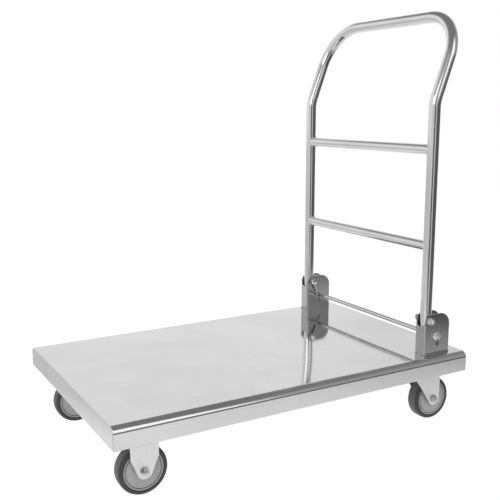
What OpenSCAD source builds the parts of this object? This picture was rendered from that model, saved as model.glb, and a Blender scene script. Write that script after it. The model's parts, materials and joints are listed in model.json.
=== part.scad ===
// Flat platform trolley in sheet stainless steel with a fold-down tube handle.
// X runs along the deck with the handle at +X, Y runs across it, and Z is up.
// The origin is on the floor under the centre of the deck.

/* [Deck] */
// Length of the deck
deck_length = 850; // [700:10:1100]
// Width of the deck
deck_width = 540; // [450:10:700]
// Depth of the folded edge all round
deck_edge = 46; // [40:1:60]
// Thickness of the deck sheet
deck_sheet = 1.5; // [1:0.1:2.5]
// Outer radius of the rolled long edges
deck_roll = 15; // [8:1:20]
// Width of the lip folded inwards under the edge
deck_lip = 12; // [8:1:18]

/* [Bearers] */
// Depth of the hat sections from the deck sheet to the caster plates
bearer_depth = 42.5; // [36:0.5:50]
// Width of the flat that the caster plates bolt to
bearer_flat = 110; // [108:1:130]
// Width of each welded lip of a hat section
bearer_lip = 18; // [12:1:24]
// Thickness of the hat section sheet
bearer_sheet = 2; // [1.5:0.1:3]
// Depth of the lengthwise stiffeners
stiffener_depth = 30; // [20:1:34]
// Width of the flat of a stiffener
stiffener_flat = 46; // [36:1:60]
// Distance between the two stiffeners
stiffener_spacing = 190; // [160:5:220]

/* [Wheels and casters] */
// Diameter of a wheel over its tread
wheel_diameter = 100; // [80:1:125]
// Width of the tread
tread_width = 32; // [26:1:34]
// Radius of the tread's shoulders
tread_shoulder = 7; // [3:0.5:8]
// Depth of rubber outside the wheel core
tread_depth = 9.4; // [7:0.1:12]
// Width across the faces of the wheel core
core_width = 28; // [24:1:30]
// Length of the wheel hub between the fork legs
hub_length = 36; // [34:1:40]
// Diameter of the wheel hub
hub_diameter = 26; // [20:1:30]
// Outer diameter of the steel sleeve that the hub turns on
sleeve_diameter = 12; // [10:0.5:15]
// Diameter of the axle bolts and the pivot bolts
bolt_diameter = 8; // [6:1:10]
// Top of the caster plates above the top of the wheels
caster_clearance = 28; // [26:1:40]
// Length of a caster plate along the deck
plate_length = 105; // [98:1:106]
// Width of a caster plate across the deck
plate_width = 80; // [76:1:90]
// Thickness of a caster plate
plate_thickness = 3; // [2.5:0.5:5]
// Spacing of the caster bolts along the deck
plate_pitch_x = 80; // [76:1:84]
// Spacing of the caster bolts across the deck
plate_pitch_y = 60; // [54:1:64]
// Thickness of the fork legs
leg_thickness = 2.5; // [2:0.5:4]
// Width of a fixed fork's leg at its top
fixed_leg_width = 57; // [48:1:66]
// Height at which a fixed fork's leg starts to taper, above its axle
fixed_leg_shoulder = 28; // [20:1:36]
// Radius of a fork leg round the axle
leg_boss = 15.5; // [13:0.5:20]
// Distance that a swivel wheel trails behind its kingpin
swivel_trail = 34; // [28:1:36]
// Reach of the swivel fork's top ahead of its kingpin
swivel_lead = 30; // [28:1:36]
// Distance of the fixed casters from the front end of the deck
front_caster_inset = 78; // [75:1:110]
// Distance of the swivel kingpins from the handle end of the deck
rear_caster_inset = 82; // [80:1:110]
// Distance of the casters from the long edges of the deck
side_caster_inset = 70; // [62:1:90]
// Diameter of a kingpin
kingpin_diameter = 12; // [10:1:14]
// Diameter of the swivel balls
ball_diameter = 5; // [4:0.5:6]
// Number of balls in a swivel race
ball_count = 16; // [10:1:22]

/* [Handle] */
// Distance of the handle pivots from the handle end of the deck
pivot_inset = 94; // [88:1:110]
// Height of the handle pivots above the deck
pivot_height = 78; // [72:1:90]
// Distance between the two uprights, centre to centre
handle_width = 462; // [390:2:520]
// Outer diameter of the handle tube
tube_diameter = 25.4; // [22:0.1:28]
// Wall of the handle tube
tube_wall = 1.5; // [1:0.1:2.5]
// Length of an upright from its pivot to the knee
upright_length = 470; // [380:5:560]
// Radius of the knee on the tube's centre line
knee_radius = 62.5; // [40:0.5:100]
// How far the top of the handle leans outwards over the rise below
rake_run = 44; // [10:1:66]
// Rise over which the top of the handle leans out by the run above
rake_rise = 117; // [100:1:140]
// Length of the leaning part from the knee to the grip's centre line
raked_length = 189; // [140:1:230]
// Radius of the top corners on the tube's centre line
corner_radius = 100; // [50:1:120]
// Outer diameter of the crossbars
crossbar_diameter = 22.2; // [16:0.1:25]
// Height of the upper crossbar above the pivots
upper_crossbar_height = 380; // [330:5:400]
// Height of the lower crossbar above the pivots
lower_crossbar_height = 168; // [120:4:220]
// Outer diameter of the bush that crosses an upright at its pivot
bush_diameter = 12; // [11:0.5:16]
// Length of the plug in the lower end of an upright
plug_length = 12; // [8:1:13]
// Thickness of the plug's flange
plug_flange = 2; // [1.5:0.5:3]

/* [Brackets and latch] */
// Length of a bracket's cheeks along the deck
bracket_length = 73; // [66:1:80]
// Height of a bracket above the deck
bracket_height = 93; // [88:1:110]
// Thickness of the bracket sheet
bracket_sheet = 2.3; // [2:0.1:3]
// Outer radius of a bracket's two bends
bracket_bend = 4; // [3.5:0.5:6]
// Radius of a cheek's front top corner
cheek_front_radius = 20; // [14:1:24]
// Radius of a cheek's back top corner
cheek_back_radius = 28; // [16:1:34]
// Diameter of the latch rod
rod_diameter = 10; // [8:1:10]
// Diameter of the rod's threaded ends
rod_end_diameter = 8; // [6:1:8]
// Distance of the latch rod behind the pivots
rod_behind = 19; // [18:0.5:24]
// Distance of the latch rod below the pivots
rod_below = 36; // [34:0.5:42]
// Travel of the latch rod when it is pressed down
latch_travel = 19; // [14:1:20]
// Lean of the latch slots
latch_tilt = 10; // [0:1:15]
// Diameter of the washers on the latch rod
rod_washer_diameter = 20; // [18:1:24]
// Outer diameter of the latch springs
spring_diameter = 10.5; // [9:0.5:12]
// Diameter of the spring wire
spring_wire = 1.6; // [1.2:0.1:2]
// Distance from the pivot to the start of a spring's coil
spring_start = 10; // [9.5:0.5:13]

/* [Fits] */
// Radial clearance of a part that turns on a pin
running_gap = 0.08; // [0.04:0.01:0.1]
// Clearance of a part that is pressed in or welded
seat_gap = 0.05; // [0.02:0.01:0.1]
// Clearance between faces that slide or turn past each other
face_gap = 0.3; // [0.2:0.05:0.4]

/* [Hidden] */
$fn = 48;
eps = 0.01;
past = 1;                                    // how far a cutter runs past a face
SIDES = [-1, 1];                             // left of the handle's user is -Y
nut_height = 0.8 * bolt_diameter;
nut_flats = 1.625 * bolt_diameter;
head_height = 0.66 * bolt_diameter;
flange_diameter = 2.24 * bolt_diameter;
flange_thickness = 1.5;
washer_thickness = 1.6;
thread_stub = 5;                             // bolt end showing past a nut
hex_chamfer_angle = 30;

wheel_radius = wheel_diameter / 2;
core_radius = wheel_radius - tread_depth;
caster_top = wheel_diameter + caster_clearance;
deck_height = caster_top + bearer_depth + deck_sheet;
deck_underside = deck_height - deck_sheet;
fork_gap = hub_length + 2;
leg_outer = fork_gap / 2 + leg_thickness;
caster_y = deck_width / 2 - side_caster_inset;
front_x = -deck_length / 2 + front_caster_inset;
kingpin_x = deck_length / 2 - rear_caster_inset;
swivel_x = kingpin_x + swivel_trail;
ring_width = 3;                              // raised ring at the edge of the core
groove_width = 2.2;                          // groove inside that ring
groove_depth = 2.5;
sleeve_length = fork_gap;
bolt_clearance = 0.1;                        // radial, round a bolt that doesn't turn

race_height = 3;
ball_circle = 22;
ball_z = caster_top - plate_thickness - race_height - face_gap - ball_diameter / 2;
fork_top = ball_z - ball_diameter / 2 - face_gap;
fork_roof = 2.9;
race_outer = 28;
race_inner = 16;
race_rim = 2;

pivot_x = deck_length / 2 - pivot_inset;
pivot_z = deck_height + pivot_height;
upright_y = handle_width / 2;
tube_radius = tube_diameter / 2;
cheek_gap = tube_diameter + 1;               // inside width of a bracket
bracket_half = cheek_gap / 2 + bracket_sheet;
web_inner_x = pivot_x - tube_radius - face_gap;
bracket_front_x = web_inner_x - bracket_sheet;
rod_x = pivot_x + rod_behind;
rod_z = pivot_z - rod_below;
rod_distance = sqrt(pow(rod_behind, 2) + pow(rod_below, 2));
tail_sweep = rod_distance - rod_diameter / 2 - 2 * face_gap;
tail_length = sqrt(pow(tail_sweep, 2) - pow(tube_radius, 2));
bush_length = cheek_gap - 2 * face_gap;
handle_rake = atan2(rake_run, rake_rise);
knee_end_x = pivot_x + knee_radius * (1 - cos(handle_rake));
knee_end_z = pivot_z + upright_length + knee_radius * sin(handle_rake);
spring_plane = spring_diameter / 2 + 1;      // from a cheek's face to the spring's centre
spring_loop_gap = 0.3;                       // slack of a spring loop on its pin
collar_wall = 1;                             // of the rings that hold a loop off its cheek
collar_length = spring_plane - spring_wire / 2 - 2 * face_gap;

// ---- shared shapes ----

// a cylinder along Y, centred on the origin
module pin_y(d, length) {
    rotate([90, 0, 0]) cylinder(d = d, h = length, center = true);
}

// a cylinder along Y from y = 0 towards +Y
module stub_y(d, length) {
    rotate([-90, 0, 0]) cylinder(d = d, h = length);
}

// a hexagon with chamfered corners, from z = 0 upwards
module hexagon(flats, height) {
    top = flats / 2 - 0.2;
    intersection() {
        cylinder(d = flats / cos(30), h = height, $fn = 6);
        cylinder(r1 = top + height / tan(hex_chamfer_angle), r2 = top, h = height);
    }
}

// a nut with its bore, from z = 0 upwards
module nut(d, flats, height) {
    difference() {
        hexagon(flats, height);
        translate([0, 0, -past]) cylinder(d = d + 2 * seat_gap, h = height + 2 * past);
    }
}

// a flange nut with its bore, from z = 0 upwards
module flange_nut(d) {
    difference() {
        union() {
            cylinder(d = flange_diameter, h = flange_thickness);
            hexagon(nut_flats, nut_height + flange_thickness);
        }
        translate([0, 0, -past]) cylinder(d = d + 2 * seat_gap, h = nut_height + 4 * past);
    }
}

// a flat ring, from z = 0 upwards
module ring(outer, inner, height) {
    difference() {
        cylinder(d = outer, h = height);
        translate([0, 0, -past]) cylinder(d = inner, h = height + 2 * past);
    }
}

// a hat section along Y with its lips at z = 0 and its flat at z = -depth
module hat_section(length, flat, depth, lip, sheet) {
    translate([0, -length / 2, 0]) {
        for (side = SIDES) {
            translate([side * (flat + lip - sheet) / 2 - (lip + sheet) / 2, 0, -sheet])
                cube([lip + sheet, length, sheet]);
            translate([side * (flat - sheet) / 2 - sheet / 2, 0, -depth])
                cube([sheet, length, depth]);
        }
        translate([-flat / 2, 0, -depth]) cube([flat, length, sheet]);
    }
}

// ---- deck ----

// the solid outline of the deck, or of its hollow when inset by the sheet
module deck_block(inset) {
    roll = deck_roll - inset;
    half = deck_width / 2 - inset;
    top = deck_height - inset;
    bottom = deck_height - deck_edge + inset;
    length = deck_length - 2 * inset;
    translate([-length / 2, -half, bottom]) cube([length, 2 * half, top - roll - bottom]);
    translate([-length / 2, roll - half, bottom]) cube([length, 2 * (half - roll), top - bottom]);
    for (side = SIDES)
        translate([0, side * (half - roll), top - roll])
            rotate([0, 90, 0]) cylinder(r = roll, h = length, center = true);
}

// the U-shaped plan of a bracket, grown by a gap
module bracket_plan(gap) {
    back = bracket_front_x + bracket_length;
    front = bracket_front_x - gap;
    half = bracket_half + gap;
    bend = bracket_bend + gap;
    difference() {
        union() {
            translate([front + bend, -half]) square([back + gap - front - bend, 2 * half]);
            translate([front, -half + bend]) square([2 * bend, 2 * (half - bend)]);
            for (side = SIDES) translate([front + bend, side * (half - bend)]) circle(r = bend);
        }
        translate([web_inner_x + gap, -cheek_gap / 2 + gap])
            square([bracket_length + past, cheek_gap - 2 * gap]);
    }
}

module deck_tray() {
    mouth_length = deck_length - 2 * deck_sheet - 2 * deck_lip;
    mouth_width = deck_width - 2 * deck_sheet - 2 * deck_lip;
    color("gainsboro") difference() {
        deck_block(0);
        deck_block(deck_sheet);
        translate([-mouth_length / 2, -mouth_width / 2, deck_height - deck_edge - past])
            cube([mouth_length, mouth_width, deck_sheet + 2 * past]);
        for (side = SIDES)
            translate([0, side * upright_y, deck_underside - past])
                linear_extrude(deck_sheet + 2 * past) bracket_plan(2 * seat_gap);
    }
}

module bearer(x) {
    length = deck_width - 2 * deck_roll - 4;
    color("darkgray") difference() {
        translate([x, 0, deck_underside])
            hat_section(length, bearer_flat, bearer_depth, bearer_lip, bearer_sheet);
        caster_bolt_places(x)
            translate([0, 0, -past])
                cylinder(d = bolt_diameter + 2 * bolt_clearance, h = bearer_sheet + 2 * past);
    }
}

module stiffener(side) {
    start = front_x + bearer_flat / 2 + bearer_lip + past;
    finish = kingpin_x - bearer_flat / 2 - bearer_lip - past;
    color("darkgray")
        translate([(start + finish) / 2, side * stiffener_spacing / 2, deck_underside])
            rotate([0, 0, 90])
                hat_section(finish - start, stiffener_flat, stiffener_depth, bearer_lip, bearer_sheet);
}

// ---- casters ----

// the four bolt positions of both casters at x, on top of their plates
module caster_bolt_places(x) {
    for (side = SIDES, i = SIDES, j = SIDES)
        translate([x + i * plate_pitch_x / 2, side * caster_y + j * plate_pitch_y / 2, caster_top])
            children();
}

module caster_bolts() {
    length = plate_thickness + bearer_sheet + nut_height + 2;
    color("silver") for (x = [front_x, kingpin_x])
        caster_bolt_places(x) translate([0, 0, -plate_thickness]) {
            cylinder(d = bolt_diameter, h = length);
            mirror([0, 0, 1]) hexagon(nut_flats, head_height);
        }
}

module caster_nuts() {
    color("silver") for (x = [front_x, kingpin_x])
        caster_bolt_places(x) translate([0, 0, bearer_sheet]) nut(bolt_diameter, nut_flats, nut_height);
}

// a caster plate centred under its origin, with its four holes
module caster_plate() {
    difference() {
        translate([-plate_length / 2, -plate_width / 2, -plate_thickness])
            cube([plate_length, plate_width, plate_thickness]);
        for (i = SIDES, j = SIDES)
            translate([i * plate_pitch_x / 2, j * plate_pitch_y / 2, -plate_thickness - past])
                cylinder(d = bolt_diameter + 2 * bolt_clearance, h = plate_thickness + 2 * past);
    }
}

// where a line from point p touches the boss circle round c, on the side given
function touch(p, c, r, side) =
    let (d = norm(c - p),
         turn = atan2(c[1] - p[1], c[0] - p[0]) + side * asin(r / d),
         reach = sqrt(d * d - r * r))
    p + reach * [cos(turn), sin(turn)];

// a fork leg: an outline in X and Z, one leg on each side, with the axle bore
module fork_legs(outline, axle) {
    for (side = SIDES)
        translate([0, side * (fork_gap + leg_thickness) / 2, 0])
            rotate([90, 0, 0])
                linear_extrude(leg_thickness, center = true)
                    difference() {
                        union() {
                            polygon(outline);
                            translate(axle) circle(r = leg_boss);
                        }
                        translate(axle) circle(d = bolt_diameter + 2 * bolt_clearance);
                    }
}

module fixed_fork(side) {
    top = caster_top - plate_thickness;
    axle = [0, wheel_radius];
    half = fixed_leg_width / 2;
    shoulder = wheel_radius + fixed_leg_shoulder;
    outline = [
        [-half, top], [-half, shoulder],
        touch([-half, shoulder], axle, leg_boss, -1), axle,
        touch([half, shoulder], axle, leg_boss, 1),
        [half, shoulder], [half, top]
    ];
    color("lightgray") translate([front_x, side * caster_y, 0]) {
        translate([0, 0, caster_top]) caster_plate();
        fork_legs(outline, axle);
    }
}

module swivel_plate(side) {
    color("lightgray") translate([kingpin_x, side * caster_y, caster_top]) difference() {
        union() {
            caster_plate();
            translate([0, 0, -plate_thickness - race_height])
                ring(2 * race_outer, 2 * race_inner, race_height);
        }
        translate([0, 0, -plate_thickness - past])
            cylinder(d = kingpin_diameter + 2 * seat_gap, h = plate_thickness + 2 * past);
    }
}

module kingpin(side) {
    head_top = fork_top - fork_roof - face_gap;
    color("silver") translate([kingpin_x, side * caster_y, 0]) {
        translate([0, 0, head_top]) cylinder(d = kingpin_diameter, h = caster_top - head_top);
        translate([0, 0, head_top]) mirror([0, 0, 1]) hexagon(1.5 * kingpin_diameter, head_height);
    }
}

module ball_race(side) {
    color("silver") translate([kingpin_x, side * caster_y, ball_z])
        for (i = [0 : ball_count - 1])
            rotate([0, 0, i * 360 / ball_count]) translate([ball_circle, 0, 0]) sphere(d = ball_diameter);
}

module swivel_fork(side) {
    axle = [swivel_trail, wheel_radius];
    roof_bottom = fork_top - fork_roof;
    tail = swivel_trail + leg_boss;
    lead = [-swivel_lead + leg_thickness, roof_bottom + eps];
    outline = [
        lead, touch(lead, axle, leg_boss, -1), axle,
        [tail, wheel_radius], [tail, roof_bottom + eps]
    ];
    color("lightgray") translate([kingpin_x, side * caster_y, 0]) {
        difference() {
            union() {
                translate([0, 0, roof_bottom]) cylinder(r = swivel_lead, h = fork_roof);
                translate([0, -leg_outer, roof_bottom]) cube([tail, 2 * leg_outer, fork_roof]);
                translate([0, 0, fork_top - eps])
                    ring(2 * race_outer, 2 * (race_outer - race_rim), race_rim + eps);
            }
            translate([0, 0, roof_bottom - past])
                cylinder(d = kingpin_diameter + 2 * running_gap, h = fork_roof + 2 * past);
        }
        fork_legs(outline, axle);
    }
}

// an axle bolt along Y with its head inside the track and its end outside
module axle_bolt(side) {
    color("silver") scale([1, side, 1]) {
        translate([0, -leg_outer, 0])
            stub_y(bolt_diameter, 2 * leg_outer + flange_thickness + nut_height + thread_stub);
        translate([0, -leg_outer, 0]) rotate([90, 0, 0]) hexagon(nut_flats, head_height);
    }
}

module axle_nut(side) {
    color("silver") scale([1, side, 1])
        translate([0, leg_outer, 0]) rotate([-90, 0, 0]) flange_nut(bolt_diameter);
}

module axle_sleeve() {
    color("silver") difference() {
        pin_y(sleeve_diameter, sleeve_length);
        pin_y(bolt_diameter + 2 * bolt_clearance, sleeve_length + 2 * past);
    }
}

// place children at the axle of a fixed or a swivel wheel
module at_axle(x, side) {
    translate([x, side * caster_y, wheel_radius]) children();
}

// half of the tyre's section, from the core out to the tread
module tyre_section() {
    half = tread_width / 2;
    inner = core_radius + seat_gap;
    translate([inner, -half]) square([wheel_radius - tread_shoulder - inner, tread_width]);
    translate([inner, tread_shoulder - half])
        square([wheel_radius - inner, tread_width - 2 * tread_shoulder]);
    for (side = SIDES)
        translate([wheel_radius - tread_shoulder, side * (half - tread_shoulder)])
            circle(r = tread_shoulder);
}

module tyre() {
    color("dimgray") rotate([90, 0, 0])
        rotate_extrude($fn = 96) intersection() {
            tyre_section();
            translate([core_radius + seat_gap, -tread_width]) square([tread_depth, 2 * tread_width]);
        }
}

module wheel_core() {
    bore = sleeve_diameter / 2 + running_gap;
    disc = core_radius - ring_width - groove_width;
    color("darkgray") rotate([90, 0, 0])
        difference() {
            union() {
                cylinder(r = core_radius, h = core_width, center = true, $fn = 96);
                cylinder(d = hub_diameter, h = hub_length, center = true);
            }
            cylinder(r = bore, h = hub_length + 2 * past, center = true);
            for (face = SIDES)
                translate([0, 0, face * core_width / 2]) difference() {
                    cylinder(r = disc + groove_width, h = 2 * groove_depth, center = true, $fn = 96);
                    cylinder(r = disc, h = 2 * groove_depth + past, center = true, $fn = 96);
                }
        }
}

// ---- brackets and pivots ----

// the outline of a bracket's cheeks seen from the side
module cheek_outline() {
    front = bracket_front_x;
    back = front + bracket_length;
    base = deck_underside;
    top = deck_height + bracket_height;
    straight = top - max(cheek_front_radius, cheek_back_radius);
    translate([front, base]) square([bracket_length, straight - base]);
    translate([front, base]) square([2 * cheek_front_radius, top - cheek_front_radius - base]);
    translate([front + cheek_front_radius, base])
        square([bracket_length - cheek_front_radius - cheek_back_radius, top - base]);
    translate([front + cheek_front_radius, top - cheek_front_radius]) circle(r = cheek_front_radius);
    translate([back - cheek_back_radius, top - cheek_back_radius]) circle(r = cheek_back_radius);
}

// the slot in which the latch rod moves, cut through both cheeks
module latch_slot() {
    width = rod_diameter + 2 * face_gap;
    depth = 2 * (bracket_half + past);
    translate([rod_x, 0, rod_z]) rotate([0, -latch_tilt, 0]) {
        pin_y(width, depth);
        translate([0, 0, -latch_travel]) pin_y(width, depth);
        translate([-width / 2, -depth / 2, -latch_travel]) cube([width, depth, latch_travel]);
    }
}

module bracket(side) {
    notch = cheek_gap / 2;
    color("gray") translate([0, side * upright_y, 0]) difference() {
        intersection() {
            translate([0, 0, deck_underside]) linear_extrude(bracket_height + deck_sheet) bracket_plan(0);
            rotate([90, 0, 0]) linear_extrude(2 * bracket_half + past, center = true) cheek_outline();
        }
        // the notch in the web, in which the folded upright lies
        translate([bracket_front_x - past, 0, pivot_z]) {
            rotate([0, 90, 0]) cylinder(r = notch, h = bracket_sheet + 2 * past);
            translate([0, -notch, 0]) cube([bracket_sheet + 2 * past, cheek_gap, bracket_height]);
        }
        translate([pivot_x, 0, pivot_z]) pin_y(bolt_diameter + 2 * bolt_clearance, 3 * bracket_half);
        latch_slot();
    }
}

// the pivot bolt's head is on the inner side, past the spring's loop
module pivot_bolt(side) {
    inner = bracket_half + 2 * spring_plane - collar_length + washer_thickness / 2;
    outer = bracket_half + washer_thickness + nut_height + thread_stub;
    color("silver") translate([pivot_x, side * upright_y, pivot_z]) scale([1, side, 1]) {
        translate([0, -inner, 0]) stub_y(bolt_diameter, inner + outer);
        translate([0, -inner, 0]) rotate([90, 0, 0]) hexagon(nut_flats, head_height);
    }
}

module pivot_nuts() {
    color("silver") for (side = SIDES)
        translate([pivot_x, side * upright_y, pivot_z]) scale([1, side, 1])
            translate([0, bracket_half + washer_thickness, 0])
                rotate([-90, 0, 0]) nut(bolt_diameter, nut_flats, nut_height);
}

module pivot_washers() {
    color("silver") for (side = SIDES)
        translate([pivot_x, side * upright_y, pivot_z]) scale([1, side, 1])
            translate([0, bracket_half, 0]) rotate([-90, 0, 0])
                ring(2 * bolt_diameter, bolt_diameter + 2 * bolt_clearance, washer_thickness);
}

// a spacer ring between a cheek and the loop of its spring
module pivot_spacers() {
    color("silver") for (side = SIDES)
        translate([pivot_x, side * upright_y, pivot_z]) scale([1, side, 1])
            translate([0, -bracket_half, 0]) rotate([90, 0, 0])
                ring(bolt_diameter + 2 * collar_wall, bolt_diameter + 2 * bolt_clearance, collar_length);
}

// a tension spring from the pivot bolt to the latch rod: a plain sleeve with a loop at each end
module latch_spring(side) {
    lean = atan2(rod_behind, rod_below);
    pivot_loop = bolt_diameter / 2 + spring_loop_gap + spring_wire / 2;
    rod_loop = rod_diameter / 2 + spring_loop_gap + spring_wire / 2;
    finish = rod_distance - rod_loop - spring_wire / 4;
    color("silver")
        translate([pivot_x, side * (upright_y - bracket_half - spring_plane), pivot_z])
            rotate([0, -lean, 0]) {
                translate([0, 0, -finish])
                    ring(spring_diameter, spring_diameter - 2 * spring_wire, finish - spring_start);
                rotate([90, 0, 0]) loop_ring(pivot_loop);
                translate([0, 0, -rod_distance]) rotate([90, 0, 0]) loop_ring(rod_loop);
                // the straight shank from the upper loop, and the wires across the coil's ends
                translate([0, 0, -spring_start]) cylinder(d = spring_wire, h = spring_start - pivot_loop);
                for (z = [-spring_start, -finish])
                    translate([0, 0, z]) rotate([0, 90, 0])
                        cylinder(d = spring_wire, h = spring_diameter - spring_wire, center = true);
            }
}

module loop_ring(radius) {
    rotate_extrude() translate([radius, 0]) circle(d = spring_wire, $fn = 24);
}

// ---- handle ----

// the tube's wall as a flat ring
module tube_section() {
    difference() {
        circle(d = tube_diameter);
        circle(d = tube_diameter - 2 * tube_wall);
    }
}

// a straight stretch of tube from z = 0 upwards
module straight_tube(length) {
    linear_extrude(length) tube_section();
}

// the bend over an upright: a wedge of a full ring, so that its end lies square to the leaning part
module knee() {
    reach = 2 * knee_radius;
    rotate([90, 0, 0]) intersection() {
        rotate_extrude() translate([knee_radius, 0]) tube_section();
        linear_extrude(2 * tube_diameter, center = true)
            polygon([[0, 0], [-reach, 0], [-reach * cos(handle_rake), reach * sin(handle_rake)]]);
    }
}

// the handle's tube, stretch by stretch from its lower ends to the grip
module handle_path() {
    straight = raked_length - corner_radius;
    start = pivot_z - tail_length + plug_flange;
    for (side = SIDES) {
        translate([pivot_x, side * upright_y, start])
            straight_tube(pivot_z + upright_length - start);
        translate([pivot_x + knee_radius, side * upright_y, pivot_z + upright_length]) knee();
    }
    translate([knee_end_x, 0, knee_end_z]) rotate([0, handle_rake, 0]) {
        for (side = SIDES) {
            translate([0, side * upright_y, 0]) straight_tube(straight);
            scale([1, side, 1]) translate([0, upright_y - corner_radius, straight])
                rotate([90, 0, 90])
                    rotate_extrude(angle = 90) translate([corner_radius, 0]) tube_section();
        }
        translate([0, upright_y - corner_radius, raked_length]) rotate([90, 0, 0])
            straight_tube(2 * (upright_y - corner_radius));
    }
}

module handle_tube() {
    color("lightgray") difference() {
        handle_path();
        for (side = SIDES)
            translate([pivot_x, side * upright_y, pivot_z])
                pin_y(bush_diameter + 2 * seat_gap, 2 * tube_diameter);
    }
}

module crossbar(height) {
    color("lightgray") translate([pivot_x, 0, pivot_z + height]) difference() {
        pin_y(crossbar_diameter, handle_width);
        pin_y(crossbar_diameter - 2 * tube_wall, handle_width + 2 * past);
        for (side = SIDES)
            translate([0, side * upright_y, 0])
                cylinder(d = tube_diameter + 2 * seat_gap, h = 2 * tube_diameter, center = true);
    }
}

module pivot_bush(side) {
    color("silver") translate([pivot_x, side * upright_y, pivot_z]) difference() {
        pin_y(bush_diameter, bush_length);
        pin_y(bolt_diameter + 2 * running_gap, bush_length + 2 * past);
    }
}

module tube_plug(side) {
    color("black") translate([pivot_x, side * upright_y, pivot_z - tail_length]) {
        cylinder(d = tube_diameter, h = plug_flange);
        cylinder(d = tube_diameter - 2 * tube_wall - 2 * seat_gap, h = plug_length);
    }
}

// ---- latch ----

module latch_rod() {
    shoulder = upright_y + bracket_half + face_gap;
    stub = washer_thickness + 0.8 * rod_end_diameter + 2;
    color("silver") translate([rod_x, 0, rod_z]) {
        pin_y(rod_diameter, 2 * shoulder);
        pin_y(rod_end_diameter, 2 * (shoulder + stub));
    }
}

module latch_rod_washers() {
    color("silver") for (side = SIDES)
        translate([rod_x, side * (upright_y + bracket_half + face_gap), rod_z]) scale([1, side, 1])
            rotate([-90, 0, 0])
                ring(rod_washer_diameter, rod_end_diameter + 2 * seat_gap, washer_thickness);
}

module latch_rod_nuts() {
    color("silver") for (side = SIDES)
        translate([rod_x, side * (upright_y + bracket_half + face_gap + washer_thickness), rod_z])
            scale([1, side, 1]) rotate([-90, 0, 0])
                nut(rod_end_diameter, 1.625 * rod_end_diameter, 0.8 * rod_end_diameter);
}

// a collar on the rod between each inner cheek and the spring's loop
module latch_rod_collars() {
    color("silver") for (side = SIDES)
        translate([rod_x, side * (upright_y - bracket_half - face_gap), rod_z]) scale([1, side, 1])
            rotate([90, 0, 0])
                ring(rod_diameter + 2 * collar_wall, rod_diameter + 2 * seat_gap, collar_length);
}

// ---- nodes ----

deck_tray();
bearer(front_x);  // front_bearer
bearer(kingpin_x);  // rear_bearer
stiffener(-1);  // stiffener_left
stiffener(1);  // stiffener_right
bracket(-1);  // bracket_left
bracket(1);  // bracket_right
pivot_bolt(-1);  // pivot_bolt_left
pivot_bolt(1);  // pivot_bolt_right
pivot_nuts();
pivot_washers();
pivot_spacers();
latch_spring(-1);  // latch_spring_left
latch_spring(1);  // latch_spring_right
handle_tube();
crossbar(upper_crossbar_height);  // upper_crossbar
crossbar(lower_crossbar_height);  // lower_crossbar
pivot_bush(-1);  // pivot_bush_left
pivot_bush(1);  // pivot_bush_right
tube_plug(-1);  // tube_plug_left
tube_plug(1);  // tube_plug_right
latch_rod();
latch_rod_washers();
latch_rod_nuts();
latch_rod_collars();
fixed_fork(-1);  // fixed_fork_left
fixed_fork(1);  // fixed_fork_right
at_axle(front_x, -1) axle_bolt(-1);  // fixed_axle_left
at_axle(front_x, 1) axle_bolt(1);  // fixed_axle_right
for (side = SIDES) at_axle(front_x, side) axle_nut(side);  // fixed_axle_nuts
at_axle(front_x, -1) axle_sleeve();  // fixed_sleeve_left
at_axle(front_x, 1) axle_sleeve();  // fixed_sleeve_right
swivel_plate(-1);  // swivel_plate_left
swivel_plate(1);  // swivel_plate_right
kingpin(-1);  // kingpin_left
kingpin(1);  // kingpin_right
caster_bolts();
caster_nuts();
swivel_fork(-1);  // swivel_fork_left
swivel_fork(1);  // swivel_fork_right
at_axle(swivel_x, -1) axle_bolt(-1);  // swivel_axle_left
at_axle(swivel_x, 1) axle_bolt(1);  // swivel_axle_right
at_axle(swivel_x, -1) axle_nut(-1);  // swivel_axle_nut_left
at_axle(swivel_x, 1) axle_nut(1);  // swivel_axle_nut_right
at_axle(swivel_x, -1) axle_sleeve();  // swivel_sleeve_left
at_axle(swivel_x, 1) axle_sleeve();  // swivel_sleeve_right
ball_race(-1);  // ball_race_left
ball_race(1);  // ball_race_right
at_axle(front_x, -1) tyre();  // fixed_tyre_left
at_axle(front_x, 1) tyre();  // fixed_tyre_right
at_axle(front_x, -1) wheel_core();  // fixed_core_left
at_axle(front_x, 1) wheel_core();  // fixed_core_right
at_axle(swivel_x, -1) tyre();  // swivel_tyre_left
at_axle(swivel_x, 1) tyre();  // swivel_tyre_right
at_axle(swivel_x, -1) wheel_core();  // swivel_core_left
at_axle(swivel_x, 1) wheel_core();  // swivel_core_right
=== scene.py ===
# A folding platform trolley in stainless steel: finishes, modelled pieces, light and camera.
import json
import math

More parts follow.
